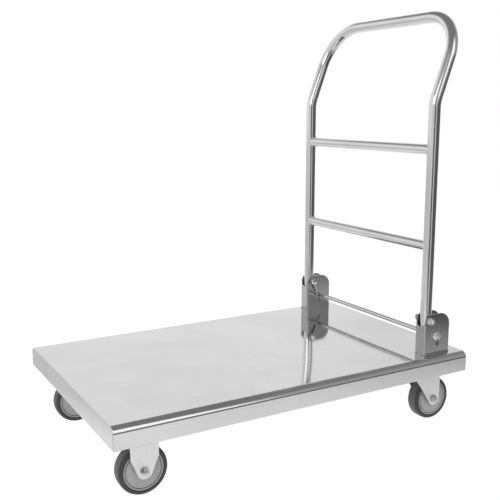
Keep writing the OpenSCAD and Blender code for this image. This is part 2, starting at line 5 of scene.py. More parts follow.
import bmesh
import bpy
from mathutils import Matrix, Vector


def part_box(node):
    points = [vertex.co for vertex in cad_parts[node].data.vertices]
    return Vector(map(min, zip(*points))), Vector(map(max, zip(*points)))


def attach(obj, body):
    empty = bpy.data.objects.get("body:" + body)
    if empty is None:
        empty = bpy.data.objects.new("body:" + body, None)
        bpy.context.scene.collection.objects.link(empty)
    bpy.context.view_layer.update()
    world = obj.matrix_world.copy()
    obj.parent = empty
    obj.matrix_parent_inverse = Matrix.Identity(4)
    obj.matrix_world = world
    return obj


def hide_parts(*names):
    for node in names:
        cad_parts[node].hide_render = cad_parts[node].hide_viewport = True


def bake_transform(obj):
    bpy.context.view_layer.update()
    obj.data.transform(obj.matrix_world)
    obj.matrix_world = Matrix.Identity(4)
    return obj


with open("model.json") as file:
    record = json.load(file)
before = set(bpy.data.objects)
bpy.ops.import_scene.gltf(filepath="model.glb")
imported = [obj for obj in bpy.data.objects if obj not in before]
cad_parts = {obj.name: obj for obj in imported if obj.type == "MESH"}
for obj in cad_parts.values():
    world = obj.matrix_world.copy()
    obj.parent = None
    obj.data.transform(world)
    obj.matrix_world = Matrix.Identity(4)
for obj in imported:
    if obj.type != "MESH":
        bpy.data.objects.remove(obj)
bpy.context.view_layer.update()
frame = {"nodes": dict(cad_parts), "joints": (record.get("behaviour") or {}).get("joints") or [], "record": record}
bpy.ops.object.select_all(action="DESELECT")
print("frame loaded:", len(frame["nodes"]), "parts")

mm = 0.001
sides = {"left": -1, "right": 1}

# where the camera stands, in metres, and how it is turned, in degrees
view = {
    "place": (-0.8434, -1.4649, 0.7181),
    "heading": 59.83,  # from the deck's length towards its far long side
    "down": 10.54,
    "lens": 54.85, "sensor": 36,
}


def addCamera():
    bpy.ops.object.camera_add(location=view["place"])
    camera = bpy.context.object
    heading, down = math.radians(view["heading"]), math.radians(view["down"])
    level = math.cos(down)
    ahead = Vector((math.cos(heading) * level, math.sin(heading) * level, -math.sin(down)))
    camera.rotation_euler = ahead.to_track_quat("-Z", "Y").to_euler()
    camera.data.lens = view["lens"]
    camera.data.sensor_width = view["sensor"]
    bpy.context.scene.camera = camera


addCamera()


# a socket that can stand in a sum
class Value:
    def __init__(self, graph, socket):
        self.graph = graph
        self.socket = socket

    def calc(self, operation, first, second=0):
        return self.graph.add("ShaderNodeMath", {"operation": operation}, {0: first, 1: second})

    def __add__(self, other):
        return self.calc("ADD", self, other)

    def __radd__(self, other):
        return self.calc("ADD", other, self)

    def __sub__(self, other):
        return self.calc("SUBTRACT", self, other)

    def __rsub__(self, other):
        return self.calc("SUBTRACT", other, self)

    def __mul__(self, other):
        return self.calc("MULTIPLY", self, other)

    def __rmul__(self, other):
        return self.calc("MULTIPLY", other, self)

    def __abs__(self):
        return self.calc("ABSOLUTE", self)

    # 0 below low and 1 above high, with a smooth step between
    def step(self, low, high):
        return self.graph.add(
            "ShaderNodeMapRange", {"interpolation_type": "SMOOTHSTEP"},
            {"Value": self, "From Min": low, "From Max": high})

    # 1 inside a band from low to high, with soft shoulders
    def band(self, low, high, soft):
        return self.step(low - soft, low + soft) * (1 - self.step(high - soft, high + soft))


# a node tree being drawn up; every node comes from add()
class Graph:
    def __init__(self, tree):
        self.tree = tree

    # a number or a link for each socket that is named
    def fill(self, node, values):
        for key, value in values.items():
            if isinstance(value, Value):
                self.tree.links.new(value.socket, node.inputs[key])
            else:
                node.inputs[key].default_value = value

    def add(self, kind, settings, values, out=0):
        node = self.tree.nodes.new(kind)
        for key, value in settings.items():
            setattr(node, key, value)
        self.fill(node, values)
        return Value(self, node.outputs[out] if node.outputs else None)

    def mixColour(self, share, first, second):
        return self.add("ShaderNodeMix", {"data_type": "RGBA"}, {0: share, 6: first, 7: second}, out=2)

    def place(self, kind="Object"):
        return self.add("ShaderNodeTexCoord", {}, {}, out=kind)

    # the X, Y and Z of a vector
    def split(self, vector):
        node = self.add("ShaderNodeSeparateXYZ", {}, {"Vector": vector}).socket.node
        return [Value(self, socket) for socket in node.outputs]

    # noise on the object's own coordinates, stretched by the numbers in scale
    def noise(self, scale, detail=2.0, seed=(0, 0, 0)):
        moved = self.add("ShaderNodeMapping", {}, {"Vector": self.place(), "Scale": scale, "Location": seed})
        return self.add("ShaderNodeTexNoise", {}, {"Vector": moved, "Scale": 1.0, "Detail": detail})


def grey(value):
    return (value, value, value, 1)


# a material on one Principled shader
class Finish(Graph):
    def __init__(self, name):
        self.material = bpy.data.materials.new(name)
        self.material.use_nodes = True
        super().__init__(self.material.node_tree)
        self.shader = self.tree.nodes["Principled BSDF"]

    def give(self, values):
        self.fill(self.shader, values)

    def bump(self, height, strength, distance):
        return self.add("ShaderNodeBump", {}, {"Height": height, "Strength": strength, "Distance": distance})


# greys of clean and dull metal, roughness and how far it varies, the polishing lines' cycles a metre
# on X, Y and Z, and how deep they are cut
steels = {
    "deckSteel": {
        "light": 0.70, "dark": 0.62, "rough": 0.04, "vary": 0.06, "along": (5, 1400, 1400), "cut": 0.10},
    "tubeSteel": {
        "light": 0.74, "dark": 0.64, "rough": 0.07, "vary": 0.07, "along": (900, 900, 26), "cut": 0.05},
    "barSteel": {
        "light": 0.72, "dark": 0.62, "rough": 0.12, "vary": 0.08, "along": (900, 26, 900), "cut": 0.06},
    "bracketSteel": {
        "light": 0.46, "dark": 0.37, "rough": 0.11, "vary": 0.08, "along": (40, 900, 900), "cut": 0.07},
    "frameSteel": {
        "light": 0.60, "dark": 0.50, "rough": 0.30, "vary": 0.12, "along": (700, 30, 700), "cut": 0.14},
    "rodSteel": {
        "light": 0.70, "dark": 0.60, "rough": 0.14, "vary": 0.08, "along": (900, 30, 900), "cut": 0.06},
}

# what handling leaves on each of them
wear = {
    "clouds": (7, 7, 9), "cloudShare": 0.55, "toneEdge": (0.32, 0.68), "dullEdge": (0.35, 0.75),
    "scratchStretch": 0.35, "scratchEdge": (0.66, 0.74), "scratchDepth": 0.4, "scratchRough": 0.05,
    "relief": 0.1 * mm,
}


# stainless steel: polishing lines, faint clouds from handling and a few deeper scratches
def steelFinish(name, look):
    finish = Finish(name)
    lines = finish.noise(look["along"], detail=3)
    clouds = finish.noise(wear["clouds"], detail=4, seed=(3, 1, 2))
    stretch = [n * wear["scratchStretch"] for n in look["along"]]
    scratches = finish.noise(stretch, detail=1, seed=(9, 4, 7)).step(*wear["scratchEdge"])
    tone = (lines * (1 - wear["cloudShare"]) + clouds * wear["cloudShare"]).step(*wear["toneEdge"])
    dull = clouds.step(*wear["dullEdge"]) * 0.6 + lines * 0.4
    finish.give({
        "Metallic": 1.0,
        "Base Color": finish.mixColour(tone, grey(look["dark"]), grey(look["light"])),
        "Roughness": look["rough"] + look["vary"] * dull + scratches * wear["scratchRough"],
        "Normal": finish.bump(lines - scratches * wear["scratchDepth"], look["cut"], wear["relief"])})
    return finish.material


# spangle is the number of crystals a metre
zincs = {
    "casterZinc": {"light": 0.76, "dark": 0.68, "rough": 0.28, "spangle": 260, "cut": 0.06},
    "fastenerZinc": {"light": 0.68, "dark": 0.40, "rough": 0.11, "spangle": 700, "cut": 0.05},
    "brightZinc": {"light": 0.92, "dark": 0.74, "rough": 0.09, "spangle": 700, "cut": 0.04},
    "springZinc": {"light": 0.70, "dark": 0.52, "rough": 0.26, "spangle": 900, "cut": 0.05},
}


# zinc plate: a fine crystalline mottle over a cloudy base
def zincFinish(name, look):
    finish = Finish(name)
    grains = finish.add("ShaderNodeTexVoronoi", {}, {"Vector": finish.place(), "Scale": look["spangle"]})
    clouds = finish.noise((40, 40, 40), detail=4)
    tone = (grains * 0.5 + clouds * 0.6).step(0.25, 0.75)
    finish.give({
        "Metallic": 1.0,
        "Base Color": finish.mixColour(tone, grey(look["dark"]), grey(look["light"])),
        "Roughness": look["rough"] + clouds * 0.12 + grains * 0.06,
        "Normal": finish.bump(grains, look["cut"], 0.1 * mm)})
    return finish.material


rubber = {
    # the grey of the paler tread band is painted light on the tread, with some wear
    "clean": 0.040, "dusty": 0.064, "worn": 0.135, "rough": 0.55,
    "track": 0.2,  # from the trolley's middle line to the middle of each tyre, in metres
    "treadEdge": (8 * mm, 11.5 * mm),  # the paler band, painted light with some wear, ends between these, from the middle of the tyre
}


# tyre rubber: matt, faintly dusty, and paler across the tread: painted light where the lamp falls on the tread,
# with some wear
def rubberFinish():
    finish = Finish("tyreRubber")
    dust = finish.noise((30, 30, 30), detail=5).step(0.40, 0.75)
    grain = finish.noise((1500, 1500, 1500), detail=2)
    across = abs(abs(finish.split(finish.place())[1]) - rubber["track"])
    # painted light: the middle of each tread is painted paler, standing in for the light falling on it, with some
    # wear
    worn = (1 - across.step(*rubber["treadEdge"])) * (0.7 + dust * 0.3)
    wall = finish.mixColour(dust, grey(rubber["clean"]), grey(rubber["dusty"]))
    finish.give({
        "Base Color": finish.mixColour(worn, wall, grey(rubber["worn"])),
        "Roughness": rubber["rough"] + dust * 0.2,
        "Normal": finish.bump(grain, 0.25, 0.1 * mm)})
    return finish.material


plastics = {
    "wheelNylon": {"light": 0.42, "dark": 0.37, "rough": 0.36},
    "plugPlastic": {"light": 0.03, "dark": 0.022, "rough": 0.4},
}


# moulded plastic with a fine spark-eroded grain
def plasticFinish(name, look):
    finish = Finish(name)
    grain = finish.noise((2200, 2200, 2200), detail=2)
    flow = finish.noise((25, 60, 25), detail=3)
    finish.give({
        "Base Color": finish.mixColour(flow.step(0.3, 0.7), grey(look["dark"]), grey(look["light"])),
        "Roughness": look["rough"] + flow * 0.12,
        "Normal": finish.bump(grain, 0.15, 0.05 * mm)})
    return finish.material


finishes = {name: steelFinish(name, look) for name, look in steels.items()}
finishes.update({name: zincFinish(name, look) for name, look in zincs.items()})
finishes.update({name: plasticFinish(name, look) for name, look in plastics.items()})
finishes["tyreRubber"] = rubberFinish()

slotFinish = {
    "deck_stainless": "deckSteel", "frame_stainless": "frameSteel", "bracket_stainless": "bracketSteel",
    "tube_stainless": "tubeSteel", "rod_stainless": "rodSteel", "caster_steel": "casterZinc",
    "fastener_steel": "fastenerZinc", "spring_steel": "springZinc", "tyre_rubber": "tyreRubber",
    "wheel_plastic": "wheelNylon", "plug_plastic": "plugPlastic",
}
nodeSlot = {}
for name, part in frame["nodes"].items():
    nodeSlot[name] = part.material_slots[0].material.name.split(".")[0]
    part.material_slots[0].material = finishes[slotFinish[nodeSlot[name]]]
nodeBody = {node: body for body, nodes in frame["record"]["behaviour"]["bodies"].items() for node in nodes}
print("finishes ready:", len(finishes))


def only(obj):
    bpy.ops.object.select_all(action="DESELECT")
    obj.select_set(True)
    bpy.context.view_layer.objects.active = obj


# in edit mode, select just the vertices, edges or faces that pass the test
def choose(kind, test):
    bpy.ops.mesh.select_mode(type=kind)
    bpy.ops.mesh.select_all(action="DESELECT")
    shape = bmesh.from_edit_mesh(bpy.context.object.data)
    items = {"VERT": shape.verts, "EDGE": shape.edges, "FACE": shape.faces}[kind]
    for item in [i for i in items if test(i)]:
        item.select_set(True)
    shape.select_flush_mode()
    bmesh.update_edit_mesh(bpy.context.object.data)


def openEdit(obj):
    only(obj)
    bpy.ops.object.mode_set(mode="EDIT")
    bpy.ops.mesh.select_mode(type="VERT")
    bpy.ops.mesh.select_all(action="SELECT")


def closeEdit():
    bpy.ops.object.mode_set(mode="OBJECT")


def mergeDoubles():
    bpy.ops.mesh.remove_doubles(threshold=0.002 * mm)


# merge what coincides and turn every face outwards
def tidyShell(obj):
    openEdit(obj)
    mergeDoubles()
    bpy.ops.mesh.normals_make_consistent(inside=False)
    closeEdit()


def extrude(step):
    bpy.ops.mesh.extrude_region_move(TRANSFORM_OT_translate={"value": step})


# swing the selection about an axis, right-handed, leaving a skin behind it
def sweep(centre, axis, angle, steps):
    bpy.ops.mesh.spin(center=centre, axis=axis, angle=-angle, steps=steps)


def modify(obj, kind, **settings):
    only(obj)
    bpy.ops.object.modifier_add(type=kind)
    modifier = obj.modifiers[-1]
    for key, value in settings.items():
        setattr(modifier, key, value)
    bpy.ops.object.modifier_apply(modifier=modifier.name)


# break the corners that are sharper than an angle in degrees
def breakCorners(obj, width, segments, angle, **settings):
    modify(obj, "BEVEL", width=width, segments=segments, limit_method="ANGLE",
           angle_limit=math.radians(angle), **settings)


def applyPlace(obj):
    only(obj)
    bpy.ops.object.transform_apply(location=True, rotation=True, scale=True)


# a cylinder, upright or lying along Y
def addCylinder(around, radius, depth, place, lying=False, **settings):
    bpy.ops.mesh.primitive_cylinder_add(
        vertices=around, radius=radius, depth=depth, location=place,
        rotation=(math.pi / 2 if lying else 0, 0, 0), **settings)
    obj = bpy.context.object
    applyPlace(obj)
    return obj


# cut or trim obj with another shape, which is used up
def carve(obj, cutter, operation="DIFFERENCE"):
    modify(obj, "BOOLEAN", object=cutter, operation=operation, solver="EXACT")
    bpy.data.objects.remove(cutter)


# smooth the round faces, keep the corners, and leave flat faces truly flat
def smooth(obj, angle=32):
    only(obj)
    bpy.ops.object.shade_smooth_by_angle(angle=math.radians(angle))
    modify(obj, "WEIGHTED_NORMAL", keep_sharp=True)


def copyOf(obj, shift):
    only(obj)
    bpy.ops.object.duplicate()
    twin = bpy.context.object
    twin.location = shift
    applyPlace(twin)
    return twin


def joined(objs):
    only(objs[0])
    for obj in objs:
        obj.select_set(True)
    bpy.ops.object.join()
    return bpy.context.object


# name a finished piece, give it its finish, and let it stand for its node
def dress(obj, name, node, finish=None):
    applyPlace(obj)
    obj.name = name
    obj.data.name = name
    obj.data.materials.clear()
    obj.data.materials.append(finishes[finish or slotFinish[nodeSlot[node]]])
    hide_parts(node)


# the same for a piece that rides on its node's body
def settle(obj, name, node, finish=None):
    dress(obj, name, node, finish)
    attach(obj, nodeBody[node])


def centreOf(node):
    low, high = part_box(node)
    return (low + high) / 2


# a round wire along a list of points, closed by a flat end cap or into a ring
def wire(points, radius, swell=None, around=8, ring=False):
    bpy.ops.curve.primitive_nurbs_path_add()
    obj = bpy.context.object
    curve = obj.data
    curve.splines.clear()
    line = curve.splines.new("POLY")
    line.points.add(len(points) - 1)
    for i, point in enumerate(points):
        line.points[i].co = (*point, 1)
        line.points[i].radius = swell(i) if swell else 1
    line.use_cyclic_u = ring
    curve.bevel_depth = radius
    curve.bevel_resolution = around // 2 - 2
    curve.use_fill_caps = not ring
    only(obj)
    bpy.ops.object.convert(target="MESH")
    tidyShell(bpy.context.object)
    return bpy.context.object


# a turned shape: an outline of (radius, width) points, closed, spun about an axle along Y
def turned(outline, axle, steps):
    start = Vector((axle.x + outline[0][0], axle.y + outline[0][1], axle.z))
    bpy.ops.mesh.primitive_plane_add(size=mm, location=start)
    obj = bpy.context.object
    applyPlace(obj)
    openEdit(obj)
    bpy.ops.mesh.merge(type="CENTER")
    for (r0, w0), (r1, w1) in zip(outline, outline[1:] + outline[:1]):
        extrude((r1 - r0, w1 - w0, 0))
    bpy.ops.mesh.select_all(action="SELECT")
    mergeDoubles()
    sweep(axle, (0, 1, 0), 2 * math.pi, steps)
    closeEdit()
    tidyShell(obj)
    return obj


# an outline given for one face, carried on to the other
def bothFaces(one):
    return one + [(r, -w) for r, w in reversed(one)]


# points round an arc; angles in degrees, from the +radius direction towards +width
def arc(radius, width, size, first, last, count):
    turns = [math.radians(first + (last - first) * i / count) for i in range(count + 1)]
    return [(radius + size * math.cos(t), width + size * math.sin(t)) for t in turns]


# a node's own shape, with its facets merged and its corners broken if a width is given
def softened(node, width=0, segments=2, angle=40):
    obj = bpy.data.objects.new(node, frame["nodes"][node].data.copy())
    bpy.context.scene.collection.objects.link(obj)
    only(obj)
    bpy.ops.mesh.customdata_custom_splitnormals_clear()
    openEdit(obj)
    mergeDoubles()
    bpy.ops.mesh.dissolve_limited(angle_limit=math.radians(1))
    closeEdit()
    if width:
        breakCorners(obj, width, segments, angle, miter_outer="MITER_ARC")
    return obj


deck = {
    "sheet": 1.5 * mm, "roll": 15 * mm, "rollSteps": 16, "fold": 2.4 * mm, "foldSteps": 3, "lip": 12 * mm,
    "sag": 1.15 * mm, "sagReach": 120 * mm, "sagSteps": 18,  # the top eases down towards its long edges
    "near": 0.1 * mm,  # how closely a line or a face is picked out
}


# a pan: rolled long edges, sharply folded ends, and a lip turned in under its edge
def makeDeck():
    low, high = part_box("deck_tray")
    size, near = high - low, deck["near"]
    rollFoot, flatEdge = high.z - deck["roll"], high.y - deck["roll"]
    bpy.ops.mesh.primitive_cube_add(size=1, location=(low + high) / 2, scale=size)
    obj = bpy.context.object
    applyPlace(obj)
    openEdit(obj)
    choose("FACE", lambda face: face.normal.z < -0.9)
    bpy.ops.mesh.delete(type="ONLY_FACE")
    choose("EDGE", lambda edge: all(v.co.z < low.z + mm for v in edge.verts))
    extrude((0, 0, 0))
    lip = [(n - 2 * deck["lip"]) / n for n in size[:2]]
    bpy.ops.transform.resize(value=(*lip, 1), center_override=(0, 0, low.z))
    choose("EDGE", lambda edge: all(v.co.z > high.z - mm for v in edge.verts)
           and abs(edge.verts[0].co.y - edge.verts[1].co.y) < mm)
    bpy.ops.mesh.bevel(offset=deck["roll"], segments=deck["rollSteps"], affect="EDGES")
    inset = [deck["sagReach"] * i / deck["sagSteps"] for i in range(deck["sagSteps"])]
    for sign in sides.values():
        for step in inset[1:]:
            bpy.ops.mesh.select_all(action="SELECT")
            bpy.ops.mesh.bisect(plane_co=(0, sign * (flatEdge - step), 0), plane_no=(0, 1, 0))
    for sign in sides.values():
        for i, step in enumerate(inset):
            line, share = sign * (flatEdge - step), 1 - i / deck["sagSteps"]
            choose("VERT", lambda v: v.co.z > high.z - mm and abs(v.co.y - line) < near)
            bpy.ops.transform.translate(value=(0, 0, -deck["sag"] * share * share))
        choose("VERT", lambda v: v.co.y * sign > flatEdge + near and v.co.z > rollFoot + near)
        squeeze = 1 - deck["sag"] / deck["roll"]
        bpy.ops.transform.resize(value=(1, 1, squeeze), center_override=(0, 0, rollFoot))
    closeEdit()
    breakCorners(obj, deck["fold"], deck["foldSteps"], 60)
    modify(obj, "SOLIDIFY", thickness=deck["sheet"], offset=-1, use_even_offset=True)
    smooth(obj, 40)
    settle(obj, "deckPan", "deck_tray")


makeDeck()
print("deck ready")

pivot = Vector(next(j["pos_m"] for j in frame["joints"] if j["name"] == "handle_fold"))
handle = {
    "radius": 12.7 * mm, "wall": 1.5 * mm, "around": 56,
    "upright": 470 * mm,  # pivot to knee
    "knee": 62.5 * mm, "kneeSteps": 10, "corner": 100 * mm, "cornerSteps": 30, "lean": math.atan2(44, 117),
    "bushGap": 0.05 * mm,
}


def makeHandle():
    low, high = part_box("handle_tube")
    radius, lean, knee, corner = (handle[key] for key in ("radius", "lean", "knee", "corner"))
    side, top = high.y - radius, pivot.z + handle["upright"]
    up = Vector((math.sin(lean), 0, math.cos(lean)))
    kneeEnd = Vector((pivot.x + knee * (1 - math.cos(lean)), 0, top + knee * math.sin(lean)))
    straight = (high.z - radius - kneeEnd.z) / math.cos(lean) - corner
    cornerAxis = (math.cos(lean), 0, -math.sin(lean))
    bend = kneeEnd + up * straight
    bpy.ops.mesh.primitive_circle_add(
        vertices=handle["around"], radius=radius, location=(pivot.x, -side, low.z))
    obj = bpy.context.object
    applyPlace(obj)
    openEdit(obj)
    extrude((0, 0, top - low.z))
    sweep((pivot.x + knee, -side, top), (0, 1, 0), lean, handle["kneeSteps"])
    extrude(up * straight)
    sweep((bend.x, corner - side, bend.z), cornerAxis, -math.pi / 2, handle["cornerSteps"])
    extrude((0, 2 * (side - corner), 0))
    sweep((bend.x, side - corner, bend.z), cornerAxis, -math.pi / 2, handle["cornerSteps"])
    extrude(-up * straight)
    sweep((pivot.x + knee, side, top), (0, 1, 0), -lean, handle["kneeSteps"])
    extrude((0, 0, low.z - top))
    closeEdit()
    tidyShell(obj)
    modify(obj, "SOLIDIFY", thickness=handle["wall"], offset=-1, use_even_offset=True)
    bushLow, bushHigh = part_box("pivot_bush_left")
    bore = (bushHigh.z - bushLow.z) / 2 + handle["bushGap"]
    carve(obj, addCylinder(40, bore, 4 * side, (pivot.x, 0, pivot.z), lying=True))
    smooth(obj, 40)
    settle(obj, "handleTube", "handle_tube")


crossbar = {
    "radius": 11.1 * mm, "around": 48,
    "weld": 0.9 * mm, "weldOut": 0.2 * mm, "weldPoints": 64, "weldRipple": 0.14,
}


# a crossbar coped round both uprights, with a run of weld at each end
def makeCrossbar(node, name):
    middle = centreOf(node)
    radius, upright = crossbar["radius"], handle["radius"]
    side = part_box("handle_tube")[1].y - upright
    bar = addCylinder(crossbar["around"], radius, 2 * side, middle, lying=True, end_fill_type="NOTHING")
    modify(bar, "SOLIDIFY", thickness=handle["wall"], offset=-1)
    beads = []
    for sign in sides.values():
        carve(bar, addCylinder(handle["around"], upright, 4 * radius, (middle.x, sign * side, middle.z)))
        seam = []
        for i in range(crossbar["weldPoints"]):
            turn = 2 * math.pi * i / crossbar["weldPoints"]
            x, z = radius * math.cos(turn), radius * math.sin(turn)
            reach = side - math.sqrt(upright ** 2 - x ** 2) - crossbar["weldOut"]
            seam.append((middle.x + x, sign * reach, middle.z + z))
        beads.append(wire(
            seam, crossbar["weld"], lambda i: 1 + crossbar["weldRipple"] * math.sin(i * math.pi / 2),
            ring=True))
    for part in [bar, *beads]:
        smooth(part, 40)
    settle(joined([bar, *beads]), name, node, "barSteel")


makeHandle()
makeCrossbar("upper_crossbar", "crossbarUpper")
makeCrossbar("lower_crossbar", "crossbarLower")
print("handle ready")

wheel = {
    "steps": 120, "tread": 50 * mm, "half": 16 * mm, "shoulder": 7 * mm, "inner": 40.65 * mm,
    "crown": 0.25 * mm, "groove": 0.35 * mm, "mould": (0.8 * mm, 1.2 * mm, 1.6 * mm),
    "seat": ((0, 1.6), (0.5, 1.1), (1.3, 0.5), (1.9, 0.1)),  # out from the core and in from the side, in mm
    "core": 40.6 * mm, "coreHalf": 14 * mm, "ring": 3 * mm, "dip": 3.2 * mm, "dipWidth": 2.4 * mm,
    "hub": 13 * mm, "hubHalf": 18 * mm, "bore": 6.08 * mm, "dish": 0.8 * mm, "ease": 0.5 * mm,
}


# a rubber tyre with a crowned tread, round shoulders, a mould line and a bead at the core
def makeTyre(axle):
    tread, half, shoulder, crown = (wheel[key] for key in ("tread", "half", "shoulder", "crown"))
    one = [(wheel["inner"] + out * mm, half - back * mm) for out, back in wheel["seat"]]
    one += arc(tread - shoulder - crown, half - shoulder, shoulder, 90, 12, 9)
    line, end = tread - crown * 0.7, half - shoulder
    for depth, back in zip((0, wheel["groove"], 0), wheel["mould"]):
        one.append((line - depth, end - back))
    one += [(tread - 0.02 * mm, 1.0 * mm), (tread, 0.25 * mm)]
    obj = turned(bothFaces(one), axle, wheel["steps"])
    smooth(obj, 50)
    return obj


# a moulded core: a raised ring, a groove, a slightly dished disc and a hub bored for the sleeve
def makeCore(axle):
    face, hub, hubHalf, ease = (wheel[key] for key in ("coreHalf", "hub", "hubHalf", "ease"))
    ringIn, dished, sunk = wheel["core"] - wheel["ring"], face - wheel["dish"], face - wheel["dip"]
    disc = ringIn - wheel["dipWidth"]
    one = [(wheel["bore"], hubHalf - ease), (wheel["bore"] + ease, hubHalf)]
    one += arc(hub - ease, hubHalf - ease, ease, 90, 0, 3)
    one += [(hub + 0.1 * mm, dished + 0.6 * mm), (hub + 0.7 * mm, dished)]
    one += [(disc - 6 * mm, dished), (disc - 3.5 * mm, face - 0.1 * mm)]
    one += arc(disc - ease, face - ease, ease, 90, 0, 3)
    one += [(disc + 0.2 * mm, sunk), (ringIn - 0.2 * mm, sunk)]
    one += arc(ringIn + ease, face - ease, ease, 180, 90, 3)
    one += arc(wheel["core"] - ease, face - ease, ease, 90, 0, 3)
    obj = turned(bothFaces(one), axle, wheel["steps"])
    smooth(obj, 28)
    return obj


firstAxle = centreOf("fixed_core_left")
firstTyre, firstCore = makeTyre(firstAxle), makeCore(firstAxle)
for kind in ("fixed", "swivel"):
    for side in sides:
        shift = centreOf(f"{kind}_core_{side}") - firstAxle
        settle(copyOf(firstTyre, shift), kind + side.capitalize() + "Tyre", f"{kind}_tyre_{side}")
        settle(copyOf(firstCore, shift), kind + side.capitalize() + "Core", f"{kind}_core_{side}")
bpy.data.objects.remove(firstTyre)
bpy.data.objects.remove(firstCore)
print("wheels ready")

weld = {"bead": 0.95 * mm, "step": 0.8 * mm, "end": 0.35, "ripple": 0.16, "wander": 0.08}


# a run of weld along a line of points, rippled like a row of overlapping pools
def weldRun(points):
    spots = [points[0]]
    for a, b in zip(points, points[1:]):
        count = max(1, round((Vector(b) - Vector(a)).length / weld["step"]))
        spots += [Vector(a).lerp(Vector(b), (i + 1) / count) for i in range(count)]
    last = len(spots) - 1

    def swell(i):
        if i in (0, last):
            return weld["end"]
        return 1 + weld["ripple"] * math.sin(i * 2.1) + weld["wander"] * math.sin(i * 0.7)

    bead = wire(spots, weld["bead"], swell)
    smooth(bead, 60)
    return bead


# runs of weld at the foot of a cheek, in mm: back from the bracket's front or rear edge, and in from
# the cheek's outer face
bracket = {
    "edge": 0.35 * mm,
    "frontRun": ((-0.2, 9), (-0.2, 4.4), (1.1, 0.9), (4.6, -0.2), (12, -0.2)),
    "rearRun": ((-16, -0.2), (0.1, -0.2), (0.2, 2.5)),
}


def makeBracket(side):
    node = f"bracket_{side}"
    low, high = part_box(node)
    body = softened(node, bracket["edge"], segments=3, angle=35)
    smooth(body, 35)
    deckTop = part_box("deck_tray")[1].z
    beads = []
    for cheek, inward in ((low.y, 1), (high.y, -1)):
        for edge, run in ((low.x, bracket["frontRun"]), (high.x, bracket["rearRun"])):
            beads.append(weldRun(
                [(edge + back * mm, cheek + inward * inside * mm, deckTop) for back, inside in run]))
    settle(joined([body, *beads]), "bracket" + side.capitalize(), node)


channel = {"edge": 0.4 * mm, "stitch": 11 * mm, "out": 0.2 * mm, "drop": 0.5 * mm}  # stitch is a half length


# a folded channel along X (0) or Y (1), with stitches of weld where its lips meet the deck
def makeChannel(node, name, along, stitches):
    low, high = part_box(node)
    body = softened(node, channel["edge"], segments=2, angle=35)
    smooth(body, 35)
    beads = []
    for i in range(stitches):
        place = low[along] + (high[along] - low[along]) * (i + 0.5) / stitches
        for edge, outward in ((low, -1), (high, 1)):
            ends = []
            for end in (-1, 1):
                spot = [0, 0, high.z - channel["drop"]]
                spot[along] = place + end * channel["stitch"]
                spot[1 - along] = edge[1 - along] + outward * channel["out"]
                ends.append(spot)
            beads.append(weldRun(ends))
    settle(joined([body, *beads]), name, node)


def makeSoft(node, name, width, segments=2, finish=None):
    obj = softened(node, width * mm, segments)
    smooth(obj)
    settle(obj, name, node, finish)


fork = {"border": 2.3 * mm, "press": 0.7 * mm, "legOuter": 21.5 * mm, "edge": 0.3 * mm}


# a pressed fork: the outer face of each leg is sunk a little inside a raised border
def makeFork(node, name):
    middle = centreOf(node).y
    obj = softened(node)
    openEdit(obj)
    choose("FACE", lambda f: abs(f.normal.y) > 0.99
           and abs(abs(f.calc_center_median().y - middle) - fork["legOuter"]) < 0.1 * mm)
    bpy.ops.mesh.inset(thickness=fork["border"], depth=-fork["press"], use_even_offset=True)
    closeEdit()
    breakCorners(obj, fork["edge"], 3, 35)
    smooth(obj, 35)
    settle(obj, name, node)


for side in sides:
    makeBracket(side)
makeChannel("front_bearer", "bearerFront", 1, 4)
makeChannel("rear_bearer", "bearerRear", 1, 4)
makeChannel("stiffener_left", "stiffenerLeft", 0, 5)
makeChannel("stiffener_right", "stiffenerRight", 0, 5)

# small parts: how wide their broken corners are, in mm, and in how many steps
for side in sides:
    tail = side.capitalize()
    makeFork(f"fixed_fork_{side}", "fixedFork" + tail)
    makeFork(f"swivel_fork_{side}", "swivelFork" + tail)
    for node, name, width, steps in (
            ("swivel_plate", "swivelPlate", 0.5, 2), ("kingpin", "kingpin", 0.25, 2),
            ("fixed_sleeve", "fixedSleeve", 0.2, 2), ("swivel_sleeve", "swivelSleeve", 0.2, 2),
            ("pivot_bush", "pivotBush", 0.15, 2), ("tube_plug", "tubePlug", 0.5, 3),
            ("swivel_axle_nut", "swivelAxleNut", 0.15, 2)):
        makeSoft(f"{node}_{side}", name + tail, width, steps)
for node, name, width in (
        ("caster_bolts", "casterBolts", 0.2), ("fixed_axle_nuts", "fixedAxleNuts", 0.15),
        ("caster_nuts", "casterNuts", 0.15)):
    makeSoft(node, name, width)
for node, name, width in (
        ("pivot_nuts", "pivotNuts", 0.15), ("latch_rod_nuts", "rodNuts", 0.15),
        ("pivot_washers", "pivotWashers", 0.35), ("latch_rod_washers", "rodWashers", 0.35),
        ("pivot_spacers", "pivotSpacers", 0.2), ("latch_rod_collars", "rodCollars", 0.2)):
    makeSoft(node, name, width, finish="brightZinc")
print("sheet metal ready")

# the tip has no rings; valley and crest are shares of the pitch
thread = {
    "pitch": 1.25 * mm, "depth": 0.55 * mm, "tip": 1 * mm, "valley": (0.42, 0.55), "crest": (0.94, 1.06),
}


# the outline of thread rings, from a start along a length
def threadRings(radius, start, length):
    root, pitch = radius - thread["depth"], thread["pitch"]
    outline = []
    for i in range(int((length - thread["tip"]) / pitch)):
        ring = start + i * pitch
        outline += [(root, ring + pitch * share) for share in thread["valley"]]
        outline += [(radius, ring + pitch * share) for share in thread["crest"]]
    return outline


bolt = {
    "head": 5.28 * mm, "edge": 0.12 * mm, "flats": 1.625,  # across the flats, for a shank of 1
    "chamfer": 0.577, "chamferTop": 0.46, "chamferFrom": 0.48,  # 30 degrees; shares of the flats
    "tipLength": 0.8 * mm, "tipDepth": 0.9 * mm, "around": 40, "headAround": 48,
}


